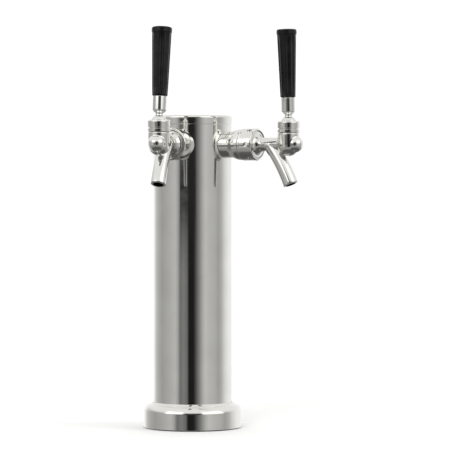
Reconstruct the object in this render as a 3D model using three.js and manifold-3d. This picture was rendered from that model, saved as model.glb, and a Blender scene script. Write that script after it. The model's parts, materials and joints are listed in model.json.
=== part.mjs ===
// A two-faucet draft beer tower: a plated column on a bayonet base, with two shanks that carry
// faucets splayed to the left and right of the front.
// Units are millimetres. +Z is up and the faucets face -Y. The origin is the centre of the base,
// on the worktop's surface: the bayonet lugs reach below it, into the worktop's hole.
import * as THREE from 'three';
import { mergeVertices } from 'three/addons/utils/BufferGeometryUtils.js';
import Module from 'manifold-3d';

const wasm = await Module();
wasm.setup();

// ---------------------------------------------------------------------------------------------
// Driving dimensions
// ---------------------------------------------------------------------------------------------

const GAP = 0.3; // between pieces that touch
const COARSE = 16; // sides of a small round piece
const FINE = 36; // sides of a large round piece

const COLUMN = { radius: 38.1, wall: 1.5, bottom: 5.5, top: 294.2 };
const COLUMN_INSIDE = COLUMN.radius - COLUMN.wall;
const CAP = { radius: 38.5, rimBottom: 294.5, top: 304, plugBottom: 290.3 };
const SKIRT = { radius: 47.5, wall: 2, height: 25 };
const GASKET = { outer: 45.1, inner: 32, thickness: 2 };
const BAYONET = { hole: 25, spigot: 31, lug: 34, depth: 11, flange: 45, lugs: 4 };
const COLUMN_SCREWS = 3;
const FOAM = { inner: 26, bottom: 24, top: 232 };

const AXIS_HEIGHT = 274.8; // of the shanks and of the faucets' shafts
const SPLAY = THREE.MathUtils.degToRad(37.5); // of each faucet from straight ahead

// Places along a faucet's own axis, measured from the column's axis.
const COLLAR = { radius: 12.7, flare: 15, flareStart: 45, front: 58.2 };
const SHANK = { radius: 11, tail: 22, flange: 12.8, flangeBack: 60.8, front: 63, bore: 3.5, recess: 56 };
const COUPLING = { radius: 15.5, back: 58.5, front: 74, thread: 13.3, holes: 6, hole: 2.4, holeReach: 68.8 };
const BODY = { back: 65.2, thread: 13, neck: 6.6, barrel: 10.5, noseTip: 122.4, seat: 73.2 };
const PIVOT = { reach: 107.5, height: 294.5 };
const SPOUT = { radius: 7.4, bore: 5.2, reach: 110, height: 236.5, start: 87, tilt: 23 };
const BONNET = { radius: 10.75, bottom: 285.6, groove: 288.6, shoulder: 294.8, top: 297, thread: 8.9 };
const BALL = 7.6;
const ARM = PIVOT.height - AXIS_HEIGHT;
const SHAFT = { piston: 4.5, pistonBack: 100.5, pistonFront: 118.5, stem: 2.5, back: 66.3 };
const SLOT = { centre: 2, halfLength: 3.8, halfWidth: 2.6, floor: -3 };
const FERRULE = { radius: 6.6, bottom: 305.2, top: 319 };
const HANDLE = { bottom: 319.4, top: 384, foot: 7.3, head: 9.1, lip: 9.6, flutes: 10 };
const STUD = { radius: 4.6, top: 335 };

// ---------------------------------------------------------------------------------------------
// Solids
// ---------------------------------------------------------------------------------------------

/** A three.js geometry as a manifold-3d solid, its faces turned outwards. */
function solidOf(geometry) {
  const bare = geometry.clone();
  bare.deleteAttribute('normal');
  bare.deleteAttribute('uv');
  const merged = mergeVertices(bare, 1e-4);
  const corners = merged.index.array;
  const kept = [];
  for (let i = 0; i < corners.length; i += 3) {
    const [a, b, c] = [corners[i], corners[i + 1], corners[i + 2]];
    if (a !== b && b !== c && c !== a) kept.push(a, b, c);
  }
  const made = (order) =>
    new wasm.Manifold(
      new wasm.Mesh({
        numProp: 3,
        vertProperties: merged.attributes.position.array,
        triVerts: new Uint32Array(order),
      }),
    );
  const solid = made(kept);
  return solid.volume() > 0 ? solid : made([...kept].reverse());
}

/** A solid as a three.js geometry. */
function geometryOf(solid) {
  const { vertProperties, triVerts } = solid.getMesh();
  const geometry = new THREE.BufferGeometry();
  geometry.setAttribute('position', new THREE.BufferAttribute(new Float32Array(vertProperties), 3));
  geometry.setIndex(new THREE.BufferAttribute(new Uint32Array(triVerts), 1));
  geometry.computeVertexNormals();
  return geometry;
}

/** A profile of [radius, height] corners turned about Z. A profile that leaves the axis is closed. */
function turned(profile, sides = COARSE) {
  const first = profile[0];
  const last = profile[profile.length - 1];
  const corners = first[0] === 0 && last[0] === 0 ? profile : [...profile, first];
  const lathe = new THREE.LatheGeometry(
    corners.map(([r, z]) => new THREE.Vector2(r, z)),
    sides,
  );
  return solidOf(lathe.rotateX(Math.PI / 2));
}

/** The same, turned about X: the profile's heights become distances along X. */
function turnedAlong(profile, sides = COARSE) {
  return turned(profile, sides).rotate([0, 90, 0]);
}

/** A round bar along Z from one height to another. */
function post(radius, from, to, sides = COARSE) {
  return turned([[0, from], [radius, from], [radius, to], [0, to]], sides);
}

/** A round bar along X from one reach to another, on the shanks' height. */
function bar(radius, from, to, sides = COARSE) {
  return post(radius, from, to, sides).rotate([0, 90, 0]).translate([0, 0, AXIS_HEIGHT]);
}

/** A ring about Z. */
function ring(outer, inner, from, to, sides = COARSE) {
  return turned([[inner, from], [outer, from], [outer, to], [inner, to]], sides);
}

/** A ring about a faucet's axis. */
function ringAlong(outer, inner, from, to, sides = COARSE) {
  return ring(outer, inner, from, to, sides).rotate([0, 90, 0]).translate([0, 0, AXIS_HEIGHT]);
}

/** A hexagonal nut about a faucet's axis. Its radius is to the corners. */
function hexNut(radius, bore, from, to) {
  return post(radius, from, to, 6)
    .subtract(post(bore, from - 1, to + 1))
    .rotate([0, 90, 0])
    .translate([0, 0, AXIS_HEIGHT]);
}

/** A round section swept along a curve. */
function pipe(curve, radius, steps, sides = COARSE) {
  const section = new THREE.Shape();
  section.absarc(0, 0, radius, 0, 2 * Math.PI);
  const swept = new THREE.ExtrudeGeometry(section, {
    steps,
    curveSegments: sides / 2,
    extrudePath: curve,
    bevelEnabled: false,
  });
  return solidOf(swept);
}

function box(x, y, z, centre) {
  return solidOf(new THREE.BoxGeometry(x, y, z).translate(...centre));
}

// ---------------------------------------------------------------------------------------------
// Materials
// ---------------------------------------------------------------------------------------------

const MATERIALS = {
  chrome: new THREE.MeshStandardMaterial({ color: 0xd8d8d6, roughness: 0.08, metalness: 1 }),
  steel: new THREE.MeshStandardMaterial({ color: 0xa9aaa8, roughness: 0.32, metalness: 1 }),
  brass: new THREE.MeshStandardMaterial({ color: 0xb8935a, roughness: 0.3, metalness: 1 }),
  blackHandle: new THREE.MeshStandardMaterial({ color: 0x1c1c1d, roughness: 0.38, metalness: 0 }),
  blackPlastic: new THREE.MeshStandardMaterial({ color: 0x222223, roughness: 0.55, metalness: 0 }),
  rubber: new THREE.MeshStandardMaterial({ color: 0x161616, roughness: 0.85, metalness: 0 }),
  nylon: new THREE.MeshStandardMaterial({ color: 0xe6e4dc, roughness: 0.5, metalness: 0 }),
  foam: new THREE.MeshStandardMaterial({ color: 0x5a5b5c, roughness: 0.95, metalness: 0 }),
};

function piece(name, solid, material) {
  const mesh = new THREE.Mesh(geometryOf(solid), material);
  mesh.name = name;
  return mesh;
}

// ---------------------------------------------------------------------------------------------
// Column, cap and base
// ---------------------------------------------------------------------------------------------

/** The turn about Z that points a faucet's +X axis away from the column, to one side of -Y. */
const facing = (side) => side * SPLAY - Math.PI / 2;

function columnTube() {
  let tube = ring(COLUMN.radius, COLUMN_INSIDE, COLUMN.bottom, COLUMN.top, FINE);
  for (const side of [-1, 1]) {
    const hole = bar(SHANK.radius + GAP, 20, 60).rotate([0, 0, THREE.MathUtils.radToDeg(facing(side))]);
    tube = tube.subtract(hole);
  }
  for (let i = 0; i < COLUMN_SCREWS; i++) {
    tube = tube.subtract(screwSolid(i, GAP));
  }
  return piece('column_tube', tube, MATERIALS.chrome);
}

function topCap() {
  const plug = COLUMN_INSIDE - GAP;
  const profile = [
    [0, CAP.rimBottom + 1],
    [plug - 1.8, CAP.rimBottom + 1],
    [plug - 1.8, CAP.plugBottom],
    [plug - 0.9, CAP.plugBottom],
    [plug - 0.9, CAP.plugBottom + 2],
    [plug, CAP.plugBottom + 2.8],
    [plug, CAP.rimBottom],
    [CAP.radius, CAP.rimBottom],
    [CAP.radius, CAP.top - 3.2],
    [CAP.radius - 0.9, CAP.top - 1.4],
    [CAP.radius - 3.2, CAP.top - 0.6],
    [0, CAP.top],
  ];
  return piece('top_cap', turned(profile, FINE), MATERIALS.chrome);
}

/** A rubber ring that holds the cap's plug in the column. */
function capSeal() {
  const seal = ring(COLUMN_INSIDE - GAP, COLUMN_INSIDE - 1.1, CAP.plugBottom, CAP.plugBottom + 1.6, FINE);
  return piece('cap_seal', seal, MATERIALS.rubber);
}

function baseSkirt() {
  const neck = COLUMN.radius + GAP;
  const profile = [
    [SKIRT.radius - SKIRT.wall, 0.6],
    [SKIRT.radius, 0.6],
    [SKIRT.radius, 15.5],
    [SKIRT.radius - 0.9, 18.6],
    [SKIRT.radius - 3.1, 21.2],
    [SKIRT.radius - 6, 22.9],
    [neck + 0.7, SKIRT.height],
    [neck, SKIRT.height],
    [neck, SKIRT.height - 3.4],
    [SKIRT.radius - 5.5, 19.4],
    [SKIRT.radius - SKIRT.wall, 14.5],
  ];
  return piece('base_skirt', turned(profile, FINE), MATERIALS.chrome);
}

/** The ring that the column stands on, with lugs that lock under the worktop by a part turn. */
function bayonetRing() {
  const seat = COLUMN_INSIDE - GAP;
  const profile = [
    [BAYONET.hole, -BAYONET.depth],
    [BAYONET.spigot, -BAYONET.depth],
    [BAYONET.spigot, GASKET.thickness + GAP],
    [BAYONET.flange, GASKET.thickness + GAP],
    [BAYONET.flange, COLUMN.bottom - GAP],
    [seat, COLUMN.bottom - GAP],
    [seat, 22],
    [BAYONET.hole + 4, 22],
    [BAYONET.hole, 12],
  ];
  let base = turned(profile, FINE);
  const lugHeight = 3;
  for (let i = 0; i < BAYONET.lugs; i++) {
    const lug = box(6, 13, lugHeight, [BAYONET.lug - 3, 0, -BAYONET.depth + lugHeight / 2]);
    base = base.add(lug.rotate([0, 0, 45 + (i * 360) / BAYONET.lugs]));
  }
  for (let i = 0; i < COLUMN_SCREWS; i++) {
    base = base.subtract(screwSolid(i, GAP));
  }
  return piece('bayonet_ring', base, MATERIALS.blackPlastic);
}

/** One of the countersunk screws that fix the column to the bayonet ring, under the skirt. */
function screwSolid(index, grown) {
  const [shank, head, height] = [1.8 + grown, 3.4 + grown, 13.5];
  const outside = COLUMN.radius + 1.6;
  const profile = [
    [0, 30 - grown],
    [shank, 30 - grown],
    [shank, COLUMN.radius + GAP],
    [head, COLUMN.radius + GAP],
    [head, outside],
    [0, outside],
  ];
  const bearing = 30 + (index * 360) / COLUMN_SCREWS;
  return turnedAlong(profile, 12).translate([0, 0, height]).rotate([0, 0, bearing]);
}

function baseParts() {
  const gasket = ring(GASKET.outer, GASKET.inner, 0, GASKET.thickness, FINE);
  const sleeve = ring(COLUMN_INSIDE - GAP, FOAM.inner, FOAM.bottom, FOAM.top, FINE);
  const parts = [baseSkirt(), bayonetRing()];
  parts.push(piece('base_gasket', gasket, MATERIALS.rubber));
  parts.push(piece('foam_sleeve', sleeve, MATERIALS.foam));
  for (let i = 0; i < COLUMN_SCREWS; i++) {
    parts.push(piece(`column_screw_${i + 1}`, screwSolid(i, 0), MATERIALS.steel));
  }
  return parts;
}

// ---------------------------------------------------------------------------------------------
// One faucet, in a frame whose +X points away from the column along the faucet
// ---------------------------------------------------------------------------------------------

function shankParts(side) {
  const clear = SHANK.radius + GAP;
  const shank = turnedAlong([
    [SHANK.bore, SHANK.tail],
    [SHANK.radius, SHANK.tail],
    [SHANK.radius, SHANK.flangeBack],
    [SHANK.flange, SHANK.flangeBack],
    [SHANK.flange, SHANK.front],
    [7.6, SHANK.front],
    [7.6, SHANK.recess],
    [SHANK.bore, SHANK.recess],
  ]).translate([0, 0, AXIS_HEIGHT]);

  const collar = turnedAlong(
    [
      [clear, 30],
      [COLLAR.radius, 30],
      [COLLAR.radius, COLLAR.flareStart],
      [COLLAR.flare, COLLAR.front - 3],
      [COLLAR.flare, COLLAR.front],
      [clear, COLLAR.front],
    ],
    24,
  )
    .translate([0, 0, AXIS_HEIGHT])
    .subtract(post(COLUMN.radius + GAP, 250, 300, 72));

  const saddle = ringAlong(15, clear, 32.4, 40).intersect(post(COLUMN_INSIDE - GAP, 250, 300, 72));

  return [
    piece(`shank_${side}`, shank, MATERIALS.steel),
    piece(`shank_collar_${side}`, collar, MATERIALS.chrome),
    piece(`saddle_washer_${side}`, saddle, MATERIALS.steel),
    piece(`shank_nut_${side}`, hexNut(15, clear, 25.5, 32.1), MATERIALS.brass),
    piece(`tail_elbow_${side}`, tailElbow(), MATERIALS.steel),
  ];
}

/** The barbed elbow that a beer line pushes onto, from below. */
function tailElbow() {
  const [reach, bend, end, radius, bore, sides] = [12, 7, 241, 3.1, 2.1, 10];
  const corner = new THREE.Vector3(reach, 0, AXIS_HEIGHT);
  const inlet = corner.clone().setX(reach + bend);
  const outlet = corner.clone().setZ(AXIS_HEIGHT - bend);
  const curve = new THREE.QuadraticBezierCurve3(inlet, corner, outlet);
  const elbow = pipe(curve, radius, 4, sides);
  let tail = elbow
    .add(bar(radius, reach + bend - 0.01, SHANK.tail - GAP, sides))
    .add(bar(8, SHANK.tail - GAP - 3, SHANK.tail - GAP))
    .add(post(radius, end, AXIS_HEIGHT - bend + 0.01, sides).translate([reach, 0, 0]));
  for (let i = 0; i < 3; i++) {
    const low = end + 1 + i * 6;
    const barb = turned([[0, low], [radius, low], [radius + 0.8, low + 4], [0, low + 4]], sides);
    tail = tail.add(barb.translate([reach, 0, 0]));
  }
  return tail
    .subtract(pipe(curve, bore, 4, sides))
    .subtract(bar(bore, reach + bend - 0.01, SHANK.tail, sides))
    .subtract(post(bore, end - 1, AXIS_HEIGHT - bend + 0.01, sides).translate([reach, 0, 0]));
}

function couplingParts(side) {
  let nut = turnedAlong(
    [
      [SHANK.radius + GAP, COUPLING.back],
      [COUPLING.radius - 1, COUPLING.back],
      [COUPLING.radius, COUPLING.back + 1],
      [COUPLING.radius, COUPLING.front - 1.4],
      [COUPLING.radius - 1.4, COUPLING.front],
      [COUPLING.thread, COUPLING.front],
      [COUPLING.thread, COUPLING.back + 2],
      [SHANK.radius + GAP, COUPLING.back + 2],
    ],
    24,
  );
  for (let i = 0; i < COUPLING.holes; i++) {
    const hole = post(COUPLING.hole, COUPLING.radius - 1.5, COUPLING.radius + 2, 8);
    const turn = ((i + 0.5) * 360) / COUPLING.holes;
    nut = nut.subtract(hole.translate([COUPLING.holeReach, 0, 0]).rotate([turn, 0, 0]));
  }
  const washer = ringAlong(12.8, 7.8, SHANK.front + 0.2, BODY.back - 0.2);
  return [
    piece(`coupling_nut_${side}`, nut.translate([0, 0, AXIS_HEIGHT]), MATERIALS.chrome),
    piece(`coupling_washer_${side}`, washer, MATERIALS.rubber),
  ];
}

/** The spout's centre line, from the neck down and forward to the mouth. */
function spoutLine(startReach, overrun) {
  const tilt = THREE.MathUtils.degToRad(SPOUT.tilt);
  const mouth = new THREE.Vector3(SPOUT.reach, 0, SPOUT.height);
  const outward = new THREE.Vector3(Math.sin(tilt), 0, -Math.cos(tilt));
  const end = mouth.clone().addScaledVector(outward, overrun);
  const knee = mouth.clone().addScaledVector(outward, -24);
  const start = new THREE.Vector3(startReach, 0, AXIS_HEIGHT);
  return new THREE.QuadraticBezierCurve3(start, knee, end);
}

function faucetBody(side) {
  const neck = turnedAlong([
    [0, BODY.back],
    [BODY.thread, BODY.back],
    [BODY.thread, COUPLING.front - 0.4],
    [10.6, COUPLING.front - 0.4],
    [BODY.neck + 0.6, 77.5],
    [BODY.neck, 80],
    [BODY.neck, PIVOT.reach],
    [0, PIVOT.reach],
  ]).translate([0, 0, AXIS_HEIGHT]);
  const nose = turnedAlong([
    [0, PIVOT.reach - 4],
    [8.6, PIVOT.reach - 4],
    [8.1, 116],
    [6.9, 119.6],
    [4.2, 121.8],
    [0, BODY.noseTip],
  ]).translate([0, 0, AXIS_HEIGHT]);
  const barrelFoot = AXIS_HEIGHT - 11.5;
  const barrel = turned([
    [0, barrelFoot],
    [5.5, barrelFoot + 1.6],
    [9.2, barrelFoot + 5.4],
    [BODY.barrel, barrelFoot + 10],
    [BODY.barrel, BONNET.bottom - GAP],
    [BONNET.thread - 0.2, BONNET.bottom - GAP],
    [BONNET.thread - 0.2, 290.6],
    [0, 290.6],
  ]).translate([PIVOT.reach, 0, 0]);
  const spout = pipe(spoutLine(SPOUT.start, 0), SPOUT.radius, 7);
  const outside = neck.add(nose).add(barrel).add(spout);

  const shaftBore = SHAFT.piston + GAP;
  const armSlot = new THREE.Shape();
  armSlot.absarc(PIVOT.reach - 3.4, 0, 5.2, Math.PI / 2, (3 * Math.PI) / 2);
  armSlot.absarc(PIVOT.reach, 0, 5.2, -Math.PI / 2, Math.PI / 2);
  const slot = solidOf(
    new THREE.ExtrudeGeometry(armSlot, { depth: 14, bevelEnabled: false, curveSegments: 8 }),
  ).translate([0, 0, AXIS_HEIGHT]);
  const body = outside
    .subtract(bar(8, BODY.back - 1, BODY.seat))
    .subtract(bar(shaftBore, BODY.seat - 1, SHAFT.pistonFront + 1))
    .subtract(slot)
    .subtract(post(7.8, 286.6, 292).translate([PIVOT.reach, 0, 0]))
    .subtract(pipe(spoutLine(SPOUT.start + 5, 2), SPOUT.bore, 6, 12));
  return piece(`faucet_body_${side}`, body, MATERIALS.chrome);
}

/** The sliding shaft, its rubber seat and the nut that holds the seat on. */
function shaftParts(side) {
  const slotReach = PIVOT.reach + SLOT.centre;
  const slotDepth = 12;
  const slotCentre = [slotReach, 0, AXIS_HEIGHT + SLOT.floor + slotDepth / 2];
  const slot = box(2 * SLOT.halfLength, 2 * SLOT.halfWidth, slotDepth, slotCentre);
  const shaft = bar(SHAFT.piston, SHAFT.pistonBack, SHAFT.pistonFront, 16)
    .add(bar(SHAFT.stem, SHAFT.back, SHAFT.pistonBack + 0.01, 16))
    .subtract(slot);
  const bore = SHAFT.stem + GAP;
  return [
    piece(`faucet_shaft_${side}`, shaft, MATERIALS.steel),
    piece(`seat_washer_${side}`, ringAlong(6.6, bore, 69.7, 72.8), MATERIALS.rubber),
    piece(`seat_nut_${side}`, hexNut(5, bore, 66.8, 69.4), MATERIALS.brass),
  ];
}

function bonnetParts(side) {
  const { radius, bottom, groove, shoulder, top, thread } = BONNET;
  const bonnet = turned(
    [
      [thread, bottom],
      [radius - 0.6, bottom],
      [radius, bottom + 0.6],
      [radius, groove],
      [radius - 0.9, groove + 0.3],
      [radius - 0.9, groove + 1.2],
      [radius, groove + 1.5],
      [radius, shoulder],
      [radius - 1.8, top],
      [BALL - 0.15, top],
      [BALL + 0.25, top - 1.4],
      [thread, top - 1.4],
    ],
    24,
  );
  const ballWasher = turned([[5.5, 286.9], [7.5, 286.9], [7.5, 289.9], [6.5, 289.9]]);
  const frictionRing = ring(thread - 0.25, BALL + 0.25, 291, top - 1.7);
  const parts = [
    piece(`bonnet_${side}`, bonnet, MATERIALS.chrome),
    piece(`ball_washer_${side}`, ballWasher, MATERIALS.nylon),
    piece(`friction_ring_${side}`, frictionRing, MATERIALS.rubber),
  ];
  for (const part of parts) part.position.x = PIVOT.reach;
  return parts;
}

/** The lever and what is screwed onto it, in a frame at the ball's centre. */
function leverParts(side) {
  const up = (height) => height - PIVOT.height;
  const ballRows = 8;
  const belowNeck = Math.asin(3.7 / BALL);
  const aboveArm = Math.PI - Math.asin(2.4 / BALL);
  const ball = [];
  for (let i = 0; i <= ballRows; i++) {
    const angle = aboveArm + ((belowNeck - aboveArm) * i) / ballRows;
    ball.push([BALL * Math.sin(angle), BALL * Math.cos(angle)]);
  }
  const lever = turned([
    [0, -ARM - 2],
    [1.4, -ARM - 1.5],
    [2, -ARM],
    [2, -BALL - 1.5],
    ...ball,
    [3.7, up(FERRULE.bottom) - 1.6],
    [5.8, up(FERRULE.bottom) - GAP],
    [STUD.radius, up(FERRULE.bottom) - GAP],
    [STUD.radius, up(STUD.top)],
    [0, up(STUD.top)],
  ]);
  const clear = STUD.radius + GAP;
  const ferrule = turned([
    [clear, up(FERRULE.bottom)],
    [FERRULE.radius - 0.6, up(FERRULE.bottom)],
    [FERRULE.radius, up(FERRULE.bottom) + 0.8],
    [FERRULE.radius, up(FERRULE.top) - 0.8],
    [FERRULE.radius - 0.6, up(FERRULE.top)],
    [clear, up(FERRULE.top)],
  ]);
  const insert = ring(6, clear, up(HANDLE.bottom) + 0.4, up(STUD.top) + 1.5);
  return [
    piece(`lever_${side}`, lever, MATERIALS.chrome),
    piece(`lever_ferrule_${side}`, ferrule, MATERIALS.chrome),
    piece(`handle_insert_${side}`, insert, MATERIALS.brass),
    tapHandle(side, up),
  ];
}

/** The fluted handle: a section of shallow flutes that grows towards the top, under a round lip. */
function tapHandle(side, up) {
  const perFlute = 4;
  const corners = HANDLE.flutes * perFlute;
  const depth = 0.7;
  const lipHeight = 5;
  const [low, high] = [up(HANDLE.bottom), up(HANDLE.top)];
  const rows = [
    [low, HANDLE.foot - 0.7, 0],
    [low + 0.8, HANDLE.foot, 0.4],
    [low + 3, HANDLE.foot + 0.1, 1],
    [high - lipHeight - 2, HANDLE.head, 1],
    [high - lipHeight, HANDLE.head + 0.2, 0],
    [high - lipHeight + 0.8, HANDLE.lip, 0],
    [high - 1.6, HANDLE.lip, 0],
    [high - 0.4, HANDLE.lip - 1, 0],
    [high, HANDLE.lip - 3, 0],
  ];
  const positions = [0, 0, low];
  for (const [z, radius, fluted] of rows) {
    for (let i = 0; i < corners; i++) {
      const angle = (2 * Math.PI * i) / corners;
      const cut = (depth * fluted * (1 - Math.cos((2 * Math.PI * i) / perFlute))) / 2;
      positions.push((radius - cut) * Math.cos(angle), (radius - cut) * Math.sin(angle), z);
    }
  }
  positions.push(0, 0, high);
  const index = [];
  const at = (row, i) => 1 + row * corners + (i % corners);
  const apex = 1 + rows.length * corners;
  for (let i = 0; i < corners; i++) {
    index.push(0, at(0, i + 1), at(0, i));
    for (let row = 0; row + 1 < rows.length; row++) {
      index.push(at(row, i), at(row, i + 1), at(row + 1, i + 1));
      index.push(at(row, i), at(row + 1, i + 1), at(row + 1, i));
    }
    index.push(apex, at(rows.length - 1, i), at(rows.length - 1, i + 1));
  }
  const geometry = new THREE.BufferGeometry();
  geometry.setAttribute('position', new THREE.Float32BufferAttribute(positions, 3));
  geometry.setIndex(index);
  const socket = post(6 + GAP, low - 1, up(STUD.top) + 2);
  return piece(`tap_handle_${side}`, solidOf(geometry).subtract(socket), MATERIALS.blackHandle);
}

/** A whole faucet. lean is how far its closed lever leans back towards the column. */
function faucet(side, sign, lean) {
  const group = new THREE.Group();
  group.rotation.z = facing(sign);
  group.add(...shankParts(side), ...couplingParts(side), faucetBody(side));
  group.add(...shaftParts(side), ...bonnetParts(side));
  const lever = new THREE.Group();
  lever.position.set(PIVOT.reach, 0, PIVOT.height);
  lever.rotation.y = -THREE.MathUtils.degToRad(lean);
  lever.add(...leverParts(side));
  group.add(lever);
  return group;
}

const tower = new THREE.Group();
tower.add(columnTube(), topCap(), capSeal(), ...baseParts());
tower.add(faucet('left', -1, 6), faucet('right', 1, 1.5));

export default tower;
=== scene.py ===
"""A chromed draught-beer tower with two splayed faucets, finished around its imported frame.

Every size is in millimetres, and MM turns it into Blender's metres. A piece is modelled where it is
easiest to turn, then settled at its place: the column's own axis, a faucet's axis, or a lever's.
The numbers of a few millimetres that stand in an outline as they are, are its small rounds, chamfers
and gaps. An arc's last three numbers are the degrees at its two ends and its chords.
"""

import json
import logging
import math
from dataclasses import dataclass, field
from enum import Enum
from typing import Callable, Sequence

import bmesh
import bpy
from mathutils import Matrix, Vector

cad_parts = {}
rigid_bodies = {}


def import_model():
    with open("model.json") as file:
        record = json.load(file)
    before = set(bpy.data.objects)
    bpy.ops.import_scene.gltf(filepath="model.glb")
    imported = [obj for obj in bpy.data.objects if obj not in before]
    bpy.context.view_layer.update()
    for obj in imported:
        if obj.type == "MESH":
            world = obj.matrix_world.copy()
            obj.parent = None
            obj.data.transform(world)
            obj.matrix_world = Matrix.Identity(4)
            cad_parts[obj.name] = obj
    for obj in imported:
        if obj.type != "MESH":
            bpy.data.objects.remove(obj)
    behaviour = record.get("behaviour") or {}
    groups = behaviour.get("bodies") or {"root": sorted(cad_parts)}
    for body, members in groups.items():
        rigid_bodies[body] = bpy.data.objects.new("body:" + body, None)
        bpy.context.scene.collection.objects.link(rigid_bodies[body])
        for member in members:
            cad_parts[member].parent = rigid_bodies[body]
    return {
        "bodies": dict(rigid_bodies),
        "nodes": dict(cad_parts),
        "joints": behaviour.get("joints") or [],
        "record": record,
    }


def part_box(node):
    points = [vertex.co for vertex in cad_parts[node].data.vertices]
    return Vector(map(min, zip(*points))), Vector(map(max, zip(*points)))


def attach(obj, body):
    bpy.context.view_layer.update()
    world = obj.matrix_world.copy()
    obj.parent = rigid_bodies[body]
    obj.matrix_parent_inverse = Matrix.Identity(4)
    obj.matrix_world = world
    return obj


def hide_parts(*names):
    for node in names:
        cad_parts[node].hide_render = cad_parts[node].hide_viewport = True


LOG = logging.getLogger("beer_tower")
MM = 0.001
FULL_TURN = 2 * math.pi
# Vertices nearer than WELD are one, and a face thinner than SLIVER is none.
WELD = 0.01 * MM
SLIVER = 0.005 * MM
# The range in which a noise pattern's values mostly lie.
MIDDLE = (0.3, 0.7)

# A corner of an outline is its distance from the turning axis and its height. A span is the two ends
# of a range, or a size at two ends.
Corner = tuple[float, float]
Span = tuple[float, float]
Tone = tuple[float, float, float]
Piece = bpy.types.Object
Socket = bpy.types.NodeSocket


class Slot(Enum):
    """The record's material slots."""

    CHROME = "chrome"
    STEEL = "steel"
    BRASS = "brass"
    HANDLE = "handle_plastic"
    BASE = "base_plastic"
    RUBBER = "rubber"
    NYLON = "nylon"
    FOAM = "foam"


class Side(Enum):
    """The two faucets, as seen from the front."""

    LEFT = "left"
    RIGHT = "right"


# ---------------------------------------------------------------------------------------------
# The bench: modelling steps that the pieces share
# ---------------------------------------------------------------------------------------------


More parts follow.
